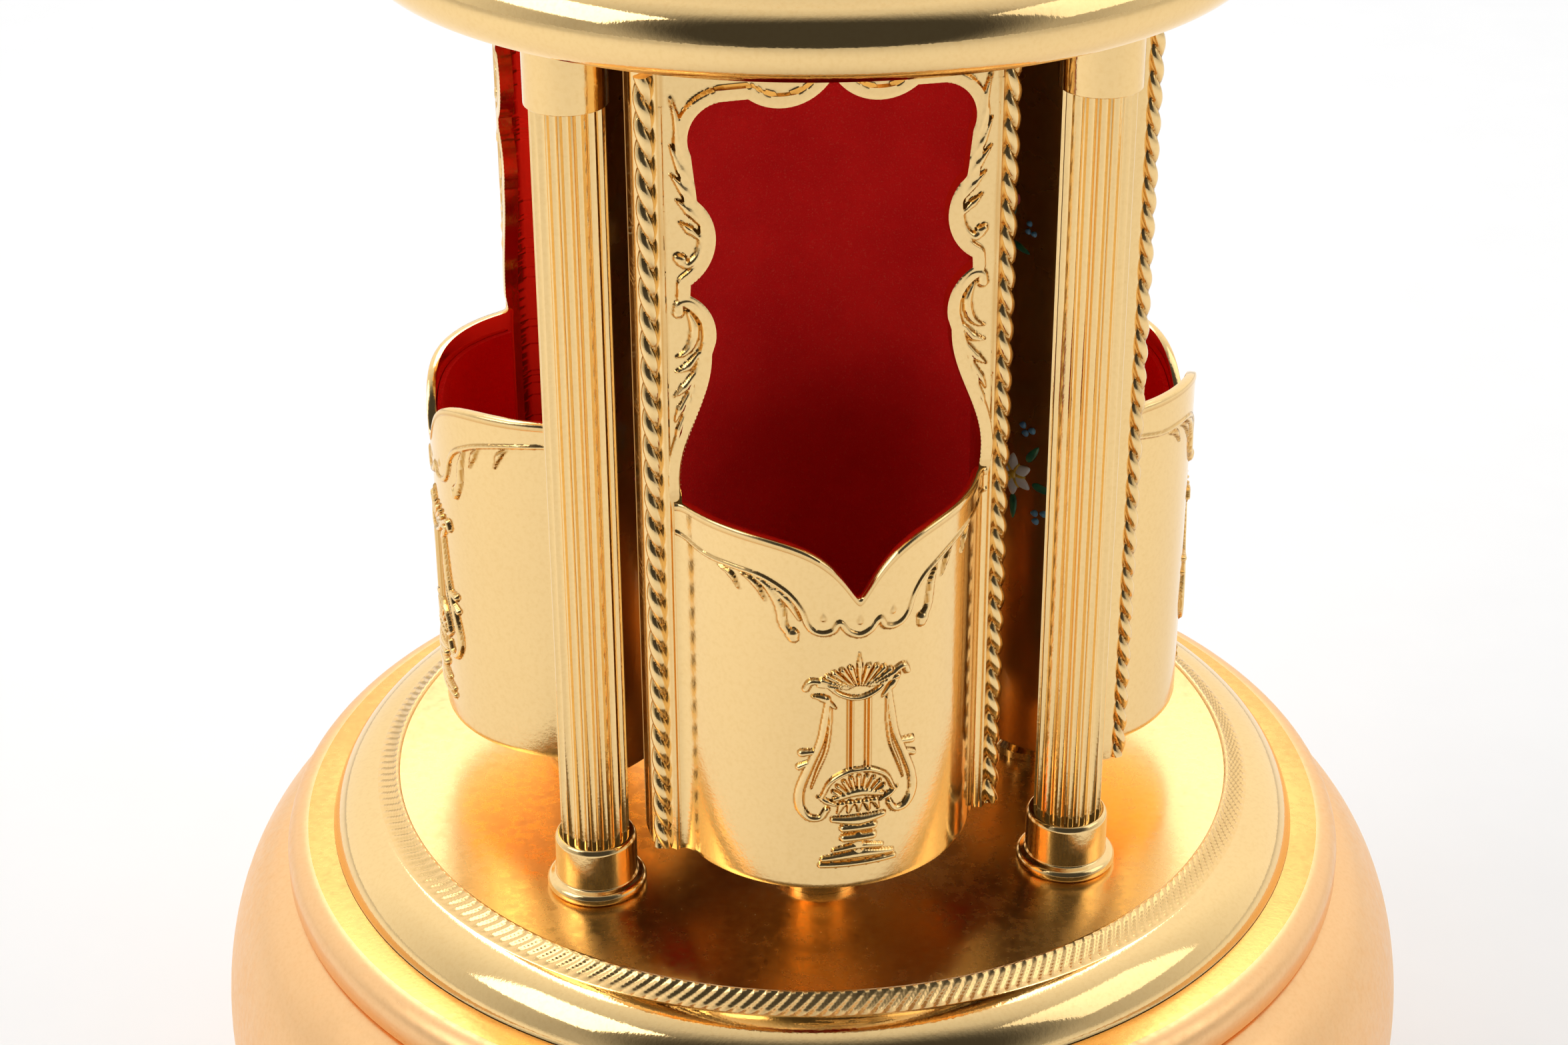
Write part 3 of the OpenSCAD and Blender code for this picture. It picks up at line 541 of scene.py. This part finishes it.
    ridge(h, s, z, [(-3.8, 11.3), (0, 11.7), (3.8, 11.3)], [0.35, 0.7, 0.35], 0.55)
    ridge(h, s, z, [(-4.0, 10.5), (4.0, 10.5)], [0.4, 0.4], 0.42)
    return h


FLARE = math.radians(66)
FLARE_LENGTH = 2.5


def cup_plan(s, out):
    """Points of the cup's section from above: a round front that flares on to the frame at both ends."""
    phi = np.clip(s / cup_r, -FLARE, FLARE)
    x, y = cup_r * np.sin(phi), -cup_r * np.cos(phi)
    nx, ny = np.sin(phi), -np.cos(phi)
    t = np.clip((np.abs(s) - FLARE * cup_r) / FLARE_LENGTH, 0, 1)
    a = np.array([cup_r * math.sin(FLARE), -cup_r * math.cos(FLARE)])
    b, c = np.array([cup_r - 0.76, front_y - 0.15]), np.array([cup_r + 0.05, front_y - 0.15])
    bend = [(1 - t) ** 2 * a[i] + 2 * t * (1 - t) * b[i] + t * t * c[i] for i in (0, 1)]
    along = [2 * (1 - t) * (b[i] - a[i]) + 2 * t * (c[i] - b[i]) for i in (0, 1)]
    size = np.hypot(*along)
    flare, side = np.abs(s) > FLARE * cup_r, np.sign(s)
    x, y = np.where(flare, side * bend[0], x), np.where(flare, bend[1], y)
    nx, ny = np.where(flare, side * along[1] / size, nx), np.where(flare, -along[0] / size, ny)
    return x + nx * out, y + ny * out


def build_cup():
    reach = FLARE * cup_r + FLARE_LENGTH
    low = holder_lo + 0.7
    s = np.concatenate([np.arange(-reach, -7.4, 0.22), np.arange(-7.4, 7.4, 0.11),
                        np.arange(7.4, reach, 0.22), [reach]])
    rim = rim_height(cup_plan(s, 0)[0])
    t = np.linspace(0, 1, 320)[:, None]
    z = low + (rim[None] - 0.75 - low) * t
    h = cup_relief(np.repeat(s[None], len(t), 0), z, rim[None])
    # painted shade: darken the colour on the sloping sides of the low relief, where shade falls
    around = np.abs(np.gradient(h, axis=0)) + np.abs(np.gradient(h, axis=1))
    shade = np.clip(around * 5.0, 0, 1) * (h < 0.3)
    out_rows = [np.full_like(s, v) for v in (-wall, -0.2, -0.05, 0)] + list(h)
    z_rows = [np.full_like(s, holder_lo + v) for v in (0, 0, 0.08, 0.3)] + list(z)
    lip = h[-1]
    for dr, dz in ((0.0, -0.4), (-0.06, -0.16), (-0.2, -0.04), (-0.5, 0.0), (-0.78, -0.06), (-0.84, -0.25)):
        out_rows.append(lip * (dr > -0.3) + dr)
        z_rows.append(rim + dz)
    for f in np.linspace(0.98, 0, 10)[:-1]:
        out_rows.append(np.full_like(s, -wall))
        z_rows.append(low + (rim - 0.6 - low) * f)
    n = len(out_rows)
    x, y = cup_plan(np.repeat(s[None], n, 0), np.array(out_rows))
    verts = np.stack([x, y, np.array(z_rows)], -1).reshape(-1, 3)
    painted_shade = np.zeros((n, len(s)))
    painted_shade[4:4 + len(t)] = shade
    faces = grid_faces(n, len(s), close_rows=True)
    for col in (0, len(s) - 1):
        faces.append([i * len(s) + col for i in range(n)])
    # floor plate between the cup's front and the painted back
    a = np.linspace(-1.25, 1.25, 40)
    outline = [((cup_r - 0.5) * math.sin(v), -(cup_r - 0.5) * math.cos(v)) for v in a]
    outline += [(x, back_arc_y + math.sqrt((back_arc_r - 0.95) ** 2 - x * x))
                for x in np.linspace(14.6, -14.6, 30)]
    base = len(verts)
    m = len(outline)
    plate = [(x, y, z0) for z0 in (holder_lo, holder_lo + 1.2) for x, y in outline]
    faces += [[base + i for i in range(m)], [base + m + i for i in range(m)][::-1]]
    faces += [[base + i, base + (i + 1) % m, base + m + (i + 1) % m, base + m + i] for i in range(m)]
    return make_mesh("cup", np.vstack([verts, plate]), faces, [plated],
                     painted_crevice_shade=np.concatenate([painted_shade.reshape(-1), np.zeros(len(plate))]))


def opening_side():
    """The right side of the opening, from the foot to the start of the top edge."""
    t = np.linspace(0, 1, 30)
    neck = [(16.1 - 3.5 * (1 - math.cos(math.pi * v)) / 2, 54.5 + 13.8 * v) for v in t]
    return np.array([(15.9, holder_lo), (15.9, 50.0)] + neck + arc((17.3, 70.5), 5.2, 190, 120, 20)
                    + arc((17.6, 80.9), 5.6, 238, 132, 24) + arc((11, 91.4), 3.7, -24, 90, 24))


def opening_top():
    """The top edge of the opening, from its right end to the middle."""
    return np.array([(11, 95.1)] + arc((5, 99.7), 5.8, 308, 218, 20) + [(0.0, 96.7)])


def even(points, step):
    """The same line with points at an even spacing."""
    d = np.concatenate([[0], np.cumsum(np.hypot(*np.diff(points, axis=0).T))])
    at = np.linspace(0, d[-1], int(d[-1] / step) + 1)
    return np.stack([np.interp(at, d, points[:, 0]), np.interp(at, d, points[:, 1])], 1)


ACANTHUS = [
    ([(15.3, 92.5), (15.2, 90), (14.5, 87.5), (13.7, 85.5), (13.3, 83), (13.3, 81), (13.8, 79.2),
      (14.8, 78.3), (15.5, 78.7)], [0.12, 0.3, 0.36, 0.4, 0.4, 0.45, 0.5]),
    ([(15.5, 78.9), (15.8, 79.1)], [0.6, 0.5]),
    ([(14.9, 89.2), (15.5, 91.5), (15.7, 93.6), (16.2, 95.8)], [0.3, 0.45, 0.35, 0.1]),
    ([(14.3, 87.0), (15.3, 88.4), (16.4, 91.0)], [0.25, 0.55, 0.1]),
    ([(13.8, 84.6), (15.0, 86.2), (16.4, 88.0)], [0.25, 0.6, 0.1]),
    ([(13.5, 82.6), (14.6, 84.0), (15.9, 85.3)], [0.25, 0.5, 0.1]),
    ([(13.6, 81.0), (14.6, 82.0), (15.6, 82.9)], [0.2, 0.45, 0.1]),
    ([(15.9, 73.2), (15.7, 74.2), (14.6, 74.2), (13.6, 73.0), (13.2, 71.0), (13.3, 69.3), (13.8, 67.5),
      (14.5, 65.5), (15.2, 63.2), (15.8, 60.5), (16.1, 58.0), (16.2, 55.5)],
     [0.6, 0.5, 0.45, 0.4, 0.36, 0.36, 0.3, 0.3, 0.25, 0.1]),
    ([(14.9, 73.2), (14.3, 71.5), (14.5, 69.8), (15.2, 68.8), (16.2, 68.3)], [0.2, 0.5, 0.5, 0.35, 0.1]),
    ([(13.9, 68.6), (15.0, 67.2), (16.3, 66.7)], [0.25, 0.5, 0.1]),
    ([(14.3, 66.4), (15.4, 64.9), (16.5, 64.0)], [0.25, 0.5, 0.1]),
    ([(15.0, 64.2), (15.9, 62.5), (16.5, 61.2)], [0.2, 0.42, 0.1]),
    ([(15.5, 61.9), (16.1, 60.2), (16.4, 58.4)], [0.2, 0.35, 0.1]),
    ([(9.4, 98.9), (8.0, 97.9), (6.2, 97.6)], [0.15, 0.4, 0.12]),
    ([(5.6, 99.0), (4.6, 98.0), (3.2, 97.7)], [0.15, 0.4, 0.12]),
    ([(0.4, 99.6), (0.9, 98.6), (0.3, 97.6)], [0.2, 0.45, 0.1]),
]


def frame_relief(x, z, edge):
    """Raised border round the opening, scrolls beside it and a narrow outer post."""
    x = np.abs(x)
    d = np.full(x.shape, 9.0)
    for part in np.array_split(edge, 12):
        d = np.minimum(d, np.hypot(x[..., None] - part[:, 0], z[..., None] - part[:, 1]).min(-1))
    h = step_edge(d, 1.35, 0.42, 0.22)
    h *= np.clip(d / 0.25, 0, 1) ** 0.5 * 0.25 + 0.75
    h *= np.clip((z - 51) / 2.5, 0, 1)
    h = np.maximum(h, step_edge(np.abs(x - flat_half_w + 0.25), 0.2, 0.22, 0.2))
    for points, radii in ACANTHUS:
        ridge(h, x, z, points, radii, 0.55)
    return h


def build_frame():
    side, top = even(opening_side(), 0.16), even(opening_top(), 0.2)
    edge = even(np.vstack([opening_side(), opening_top()]), 0.12)
    rows_up = np.linspace(side[-1, 1], holder_hi, 26)
    x_in = np.concatenate([side[:, 0], np.full(25, side[-1, 0])])
    zs = np.concatenate([side[:, 1], rows_up[1:]])
    n = 34
    f = np.linspace(0, 1, n)
    x = x_in[:, None] + (flat_half_w - x_in[:, None]) * f
    z = np.repeat(zs[:, None], n, 1)
    h = frame_relief(x, z, edge)
    rest = [(flat_half_w + 0.15, front_y + 0.12), (half_w - 0.1, front_y + chamfer - 0.1),
            (half_w, front_y + chamfer + 0.15), (half_w, 0.5), (half_w - 0.1, 0.6), (half_w - frame_t, 0.6),
            (half_w - frame_t, front_y + chamfer + 0.5), (flat_half_w - 0.5, front_y + frame_t)]
    loops = []
    for i in range(len(zs)):
        loop = [(x[i, j], front_y - h[i, j]) for j in range(n)] + rest + [(x_in[i], front_y + frame_t)]
        loops.append([(a, b, zs[i]) for a, b in loop])
    loops = np.array(loops)
    k = loops.shape[1]
    joined = len(side) - 1
    verts, faces, painted_shade = [], [], []
    # painted shade: darken the colour on the sloping sides of the low relief, where shade falls
    g = np.abs(np.gradient(h, axis=0)) + np.abs(np.gradient(h, axis=1))
    c = np.zeros(loops.shape[:2])
    c[:, :n] = np.clip(g * 5.0, 0, 1) * (h < 0.3)
    for m in (1, -1):
        start = sum(len(v) for v in verts)
        part = loops.reshape(-1, 3) * (m, 1, 1)
        verts.append(part)
        painted_shade.append(c.reshape(-1))
        quads = np.array(grid_faces(len(loops), k, close_cols=True)).reshape(len(loops) - 1, k, 4)
        keep = np.ones((len(loops) - 1, k), bool)
        keep[joined:, k - 1] = False
        faces += (quads[keep] + start).tolist()
        faces += [[start + j for j in range(k)], [start + (len(loops) - 1) * k + j for j in range(k)]]
    # top bar between the two sides, sharing their inner edge
    xs = np.concatenate([top[:, 0], -top[::-1, 0][1:]])
    zo = np.concatenate([top[:, 1], top[::-1, 1][1:]])
    tt = (rows_up - rows_up[0]) / (rows_up[-1] - rows_up[0])
    X = np.repeat(xs[:, None], len(tt), 1)
    Z = zo[:, None] + (holder_hi - zo[:, None]) * tt
    H = frame_relief(X, Z, edge)
    front = np.stack([X, front_y - H, Z], -1)
    back = np.stack([X, np.full_like(X, front_y + frame_t), Z], -1)[:, ::-1]
    bar = np.concatenate([front, back], 1)
    start = sum(len(v) for v in verts)
    verts.append(bar.reshape(-1, 3))
    painted_shade.append(np.zeros(bar.shape[0] * bar.shape[1]))
    faces += grid_faces(bar.shape[0], bar.shape[1], close_cols=True, start=start)
    # plate across the top of the holder
    a = np.linspace(-half_w + frame_t, half_w - frame_t, 40)
    outline = [(v, front_y + frame_t) for v in (-half_w + frame_t + 2, half_w - frame_t - 2)]
    outline += [(v, back_arc_y + math.sqrt((back_arc_r - 0.95) ** 2 - v * v)) for v in a[::-1]]
    start = sum(len(v) for v in verts)
    m = len(outline)
    verts.append(np.array([(x0, y0, z0) for z0 in (holder_hi - 1.4, holder_hi) for x0, y0 in outline]))
    painted_shade.append(np.zeros(2 * m))
    faces += [[start + i for i in range(m)], [start + m + i for i in range(m)]]
    faces += [[start + i, start + (i + 1) % m, start + m + (i + 1) % m, start + m + i] for i in range(m)]
    # twisted cord down each corner
    pitch, zr = 5.8, np.arange(holder_lo, holder_hi - 2, 0.16)
    th = np.linspace(0, 2 * math.pi, 26, endpoint=False)
    for m in (1, -1):
        zz, aa = np.meshgrid(zr, th, indexing="ij")
        turn = aa + 2 * math.pi * zz / pitch
        rr = 0.5 + 0.56 * np.abs(np.cos(turn)) ** 0.6
        part = np.stack([m * (flat_half_w + 1.05) + rr * np.cos(aa), front_y + 1.05 + rr * np.sin(aa), zz],
                        -1)
        start = sum(len(v) for v in verts)
        verts.append(part.reshape(-1, 3))
        # painted shade in the grooves between the cord's strands
        painted_shade.append(np.clip(1.05 - (rr - 0.5) / 0.42, 0, 1).reshape(-1))
        faces += grid_faces(len(zr), len(th), close_cols=True, start=start)
        faces += [[start + j for j in range(len(th))],
                  [start + (len(zr) - 1) * len(th) + j for j in range(len(th))]]
    return make_mesh("door_frame", np.vstack(verts), faces, [plated], painted_crevice_shade=np.concatenate(painted_shade), sharp=45)


def build_back():
    """The painted back: a curved plate with softened edges."""
    end = math.asin(half_w / back_arc_r)
    a = np.linspace(-end, end, 72)
    lo, hi = holder_lo + 0.02, holder_hi - 0.02
    section = soft([(back_arc_r - wall, lo), (back_arc_r, lo), (back_arc_r, hi), (back_arc_r - wall, hi)],
                   0.25)
    p = np.array(section)
    verts = np.stack([p[:, None, 0] * np.sin(a), back_arc_y + p[:, None, 0] * np.cos(a),
                      np.repeat(p[:, 1:], len(a), 1)], -1).reshape(-1, 3)
    faces = grid_faces(len(p), len(a), close_rows=True)
    for col in (0, len(a) - 1):
        faces.append([i * len(a) + col for i in range(len(p))])
    return make_mesh("painted_back", verts, faces, [glaze])


def on_back(u, z):
    """A point of the painted back and its outward direction, by arc length from the middle."""
    a = u / back_arc_r
    n = np.stack([np.sin(a), np.cos(a), np.zeros_like(a)], -1)
    p = np.stack([back_arc_r * np.sin(a), back_arc_y + back_arc_r * np.cos(a), z], -1)
    return p, n


def on_bulb(centre):
    line = bulb(0, 120)

    def point(u, z):
        order = np.argsort(line[:, 1])
        r = np.interp(z, line[order, 1], line[order, 0])
        slope = np.interp(z, line[order, 1],
                          np.gradient(line[order, 0], line[order, 1] + np.arange(len(order)) * 1e-9))
        th = math.radians(centre) + u / base_r
        n = np.stack([np.sin(th), -np.cos(th), -slope], -1)
        n /= np.linalg.norm(n, axis=-1, keepdims=True)
        return np.stack([r * np.sin(th), -r * np.cos(th), z], -1), n
    return point


def paint_shapes(name, surface, shapes, material):
    """Raised strokes of paint: each is (u, z, length, width, turn, thickness)."""
    verts, faces = [], []
    rings, n = np.array([0.0, 0.35, 0.7, 0.9, 1.0]), 18
    a = np.linspace(0, 2 * math.pi, n, endpoint=False)
    for u, z, length, width, turn, thick in shapes:
        c, s = math.cos(math.radians(turn)), math.sin(math.radians(turn))
        f, aa = np.meshgrid(rings, a, indexing="ij")
        along = f * np.cos(aa) * length / 2
        across = f * np.sin(aa) * width / 2 * (1 - 0.35 * np.cos(aa) * f)
        p, nrm = surface(u + along * c - across * s, z + along * s + across * c)
        h = thick * np.sqrt(np.clip(1.02 - f ** 2, 0, 1)) - 0.02
        top = (p + nrm * h[..., None]).reshape(-1, 3)
        low = (p - nrm * 0.06)[-1]
        start = sum(len(v) for v in verts)
        verts += [top, low]
        faces += grid_faces(len(rings) + 1, n, close_cols=True, start=start)
        faces.append([start + len(rings) * n + j for j in range(n)])
    return make_mesh(name, np.vstack(verts), faces, [material], sharp=70)


def spray(u, z, turn, size):
    """A generic flower spray: white petals, a yellow heart, leaves and buds."""
    c, s = math.cos(math.radians(turn)), math.sin(math.radians(turn))
    at = lambda a, b: (u + (a * c - b * s) * size, z + (a * s + b * c) * size)
    out = {"white": [], "yellow": [], "green": [], "pink": [], "blue": []}
    for a in range(0, 360, 60):
        d = math.radians(a)
        out["white"].append((*at(2.4 * math.cos(d), 2.4 * math.sin(d)),
                             3.6 * size, 2.2 * size, a + turn, 0.28))
    for a in range(30, 390, 60):
        d = math.radians(a)
        out["yellow"].append((*at(1.6 * math.cos(d), 1.6 * math.sin(d)),
                              2.4 * size, 0.8 * size, a + turn, 0.3))
    out["yellow"].append((*at(0, 0), 1.8 * size, 1.8 * size, 0, 0.42))
    for a, b, l, w, d in ((6.4, 1.6, 4.8, 1.7, 25), (-6.2, 2.0, 4.6, 1.6, 160), (3.6, -5.2, 4.6, 1.6, -60),
                          (-3.4, -5.4, 5.0, 1.6, -120), (7.6, -2.8, 3.8, 1.2, -15), (-1.0, 6.4, 4.2, 1.5, 95),
                          (5.4, 5.2, 3.2, 1.1, 50)):
        out["green"].append((*at(a, b), l * size, w * size, d + turn, 0.2))
    for a, b, d in ((9.8, 3.4, 30), (-9.2, 3.8, 150), (6.2, -8.0, -50)):
        out["pink"].append((*at(a, b), 2.6 * size, 1.7 * size, d + turn, 0.34))
    for a, b in ((-7.4, -3.2), (-8.8, -2.0), (-8.4, -4.4), (2.4, 8.8), (3.6, 9.8), (1.6, 10.2)):
        out["blue"].append((*at(a, b), 1.5 * size, 1.3 * size, 0, 0.3))
    return out


def build_holders():
    cup, door, back = build_cup(), build_frame(), build_back()
    sprays = [spray(*v)
              for v in ((0, 51, 8, 1.1), (-14, 44, 30, 0.62), (14, 46, -25, 0.62), (-11, 72, -40, 0.5),
                                  (11, 70, 60, 0.5), (0, 28, 190, 0.6))]
    flowers = {k: paint_shapes("back_" + k, on_back, sum((v[k] for v in sprays), []), paint[k])
               for k in paint}
    for k, side in enumerate(SIDES):
        m, body = holder_matrix(k), "holder_" + side
        place("pressed_cup_" + side, cup, body, ["door_cup_" + side], m)
        place("pressed_frame_" + side, door, body, ["door_frame_" + side], m)
        place("glazed_back_" + side, back, body, ["door_back_" + side], m)
        for color, mesh in flowers.items():
            place("back_%s_%s" % (color, side), mesh, body, [], m)


def build_base_paint():
    for k, centre in enumerate((-52, 55, 142, 218)):
        surface = on_bulb(centre)
        for color, shapes in spray(0, 29, 20 - 40 * (k % 2), 1.0).items():
            name = "base_%s_%d" % (color, k)
            place(name, paint_shapes(name, surface, shapes, paint[color]), "case", [])
        spots = ((-6, 41), (7, 43), (11, 38), (-11, 37), (1, 42), (14, 30), (-14, 28))
        dots = [(x, z, 0.9, 0.9, 0, 0.5) for x, z in spots]
        place("base_dots_%d" % k, paint_shapes("base_dots_%d" % k, surface, dots, polished), "case", [])


# ---------- camera, floor and light ----------

def place_camera():
    cam = bpy.data.objects.new("camera", bpy.data.cameras.new("camera"))
    bpy.context.scene.collection.objects.link(cam)
    cam.data.sensor_width = 36
    cam.data.lens = 69.1
    cam.data.clip_start = 0.01
    cam.matrix_world = (Matrix.Rotation(math.radians(-1.32), 4, "Z")
                        @ Matrix.Translation(Vector((-3.2, -311.0, 259.9)) * MM)
                        @ Matrix.Rotation(math.radians(62.0), 4, "X")
                        @ Matrix.Rotation(math.radians(-0.29), 4, "Z"))
    bpy.context.scene.camera = cam


def build_studio():
    s = 3.0
    mesh = bpy.data.meshes.new("floor")
    mesh.from_pydata([(-s, -s, 0), (s, -s, 0), (s, s, 0), (-s, s, 0)], [], [(0, 1, 2, 3)])
    floor = bpy.data.objects.new("floor", mesh)
    bpy.context.scene.collection.objects.link(floor)
    mat = bpy.data.materials.new("floor_paper")
    t = Tree(mat)
    at = t.add("ShaderNodeTexCoord").outputs["Object"]
    paper = t.mix(t.noise(at, 60.0), (0.93, 0.93, 0.93), (0.96, 0.96, 0.96))
    t.finish({"Base Color": paper, "Roughness": 0.9})
    mesh.materials.append(mat)
    world = bpy.data.worlds.new("studio")
    bpy.context.scene.world = world
    t = Tree(world)
    toward = t.add("ShaderNodeTexCoord").outputs["Generated"]
    level = t.spread(t.add("ShaderNodeSeparateXYZ", {0: toward}).outputs[1], 0.45, 1.04, -0.5, 0.5)
    # the dark room behind the camera, as the polished gold shows it
    room = t.add("ShaderNodeVectorMath", {0: toward, 1: (0.05, -0.88, 0.47)},
                 operation="DOT_PRODUCT").outputs["Value"]
    shade = t.add("ShaderNodeMapRange", {0: room, 1: 0.54, 2: 0.86, 3: 1.0, 4: 0.12},
                  interpolation_type="SMOOTHSTEP")
    strength = t.add("ShaderNodeMath", {0: level, 1: shade.outputs[0]}, operation="MULTIPLY").outputs[0]
    bg = t.add("ShaderNodeBackground", {"Color": (1, 1, 1, 1), "Strength": strength})
    t.add("ShaderNodeOutputWorld", {"Surface": bg.outputs[0]})
    for name, spot, aim, size, power in (("key", (-0.6, -0.25, 0.64), (0, 0, 0.1), 0.45, 1.5),
                                         ("fill", (0.66, -0.18, 0.58), (0, 0, 0.1), 0.5, 0.65),
                                         ("back", (0, 0.55, 0.85), (0, 0.25, 0), 0.6, 3.0)):
        light = bpy.data.lights.new(name, "AREA")
        light.size = size
        light.energy = power
        o = bpy.data.objects.new(name, light)
        bpy.context.scene.collection.objects.link(o)
        o.location = spot
        o.rotation_euler = (Vector(aim) - Vector(spot)).to_track_quat("-Z", "Y").to_euler()
    bpy.context.scene.view_settings.view_transform = "Standard"


# ---------- everything together ----------

def finish_cad_nodes():
    """Give each CAD part that shows its own material."""
    kinds = {"lining": red, "pinion": brass, "pivots": steel, "stage_bush": brass, "sun_gear": brass,
             "spring_barrel": brass, "music_cylinder": brass, "governor": brass, "mainspring": spring_steel,
             "comb_bracket": zinc, "comb_screws": steel, "comb": spring_steel, "plate": zinc, "bridge": zinc,
             "cover": black, "feet": rubber, "posts": polished, "key": polished, "canopy_plate": polished}
    for name, o in nodes.items():
        mat = steel
        for key in kinds:
            if key in name:
                mat = kinds[key]
                break
        if name == "canopy_plate":
            mat = polished
        o.data.materials.clear()
        o.data.materials.append(mat)


place_camera()
build_studio()
finish_cad_nodes()
build_base()
build_stage()
build_canopy()
build_columns()
build_holders()
build_base_paint()
